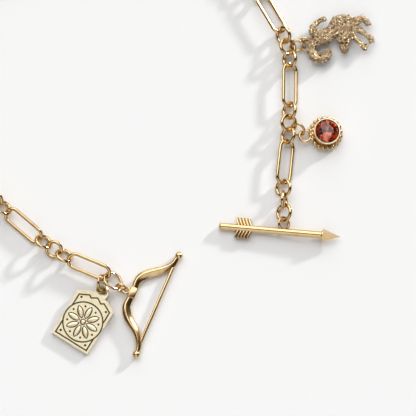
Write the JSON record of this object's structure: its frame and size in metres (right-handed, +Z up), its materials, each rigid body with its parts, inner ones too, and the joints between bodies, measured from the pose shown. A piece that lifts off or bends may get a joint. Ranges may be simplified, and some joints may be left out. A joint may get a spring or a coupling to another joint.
{
  "type": "charm bracelet",
  "caption": "Gold-plated chain bracelet with an arrow-and-bow toggle clasp and three charms: a wolf, a red crystal and an engraved plate, lying open.",
  "frame": {"origin": "middle of the bracelet's box, on the surface that it lies on", "axes": "+X to the right of the picture, along the arrow towards its head; +Y up the picture, away from the toggle; +Z up from the surface"},
  "size_m": [0.0978, 0.0974, 0.0043],
  "materials": {
    "gold": "pale yellow gold plating, polished",
    "fur_gold": "pale gold plating over coarse cast fur, antiqued in the recesses",
    "stone": "faceted red-orange crystal, foiled back"
  },
  "bodies": {
    "root": {"arrow": "gold", "lead_ring_1": "gold", "lead_ring_2": "gold", "lead_ring_3": "gold", "long_link_1": "gold", "round_link_1_1": "gold", "round_link_1_2": "gold", "round_link_1_3": "gold", "long_link_2": "gold", "round_link_2_1": "gold", "round_link_2_2": "gold", "round_link_2_3": "gold", "long_link_3": "gold", "round_link_3_1": "gold", "round_link_3_2": "gold", "round_link_3_3": "gold", "long_link_4": "gold", "round_link_4_1": "gold", "round_link_4_2": "gold", "round_link_4_3": "gold", "long_link_5": "gold", "round_link_5_1": "gold", "round_link_5_2": "gold", "round_link_5_3": "gold", "long_link_6": "gold", "round_link_6_1": "gold", "round_link_6_2": "gold", "round_link_6_3": "gold", "long_link_7": "gold", "round_link_7_1": "gold", "round_link_7_2": "gold", "round_link_7_3": "gold", "long_link_8": "gold", "round_link_8_1": "gold", "round_link_8_2": "gold", "round_link_8_3": "gold", "long_link_9": "gold", "round_link_9_1": "gold", "round_link_9_2": "gold", "round_link_9_3": "gold", "long_link_10": "gold", "round_link_10_1": "gold", "round_link_10_2": "gold", "round_link_10_3": "gold", "long_link_11": "gold", "round_link_11_1": "gold", "round_link_11_2": "gold", "round_link_11_3": "gold", "long_link_12": "gold", "clasp_ring": "gold", "clasp_link": "gold", "bow": "gold", "crystal_ring": "gold", "crystal_setting": "gold", "crystal_stone": "stone", "wolf_ring": "gold", "wolf": "fur_gold", "plate_ring": "gold", "plate": "gold"}
  },
  "joints": []
}
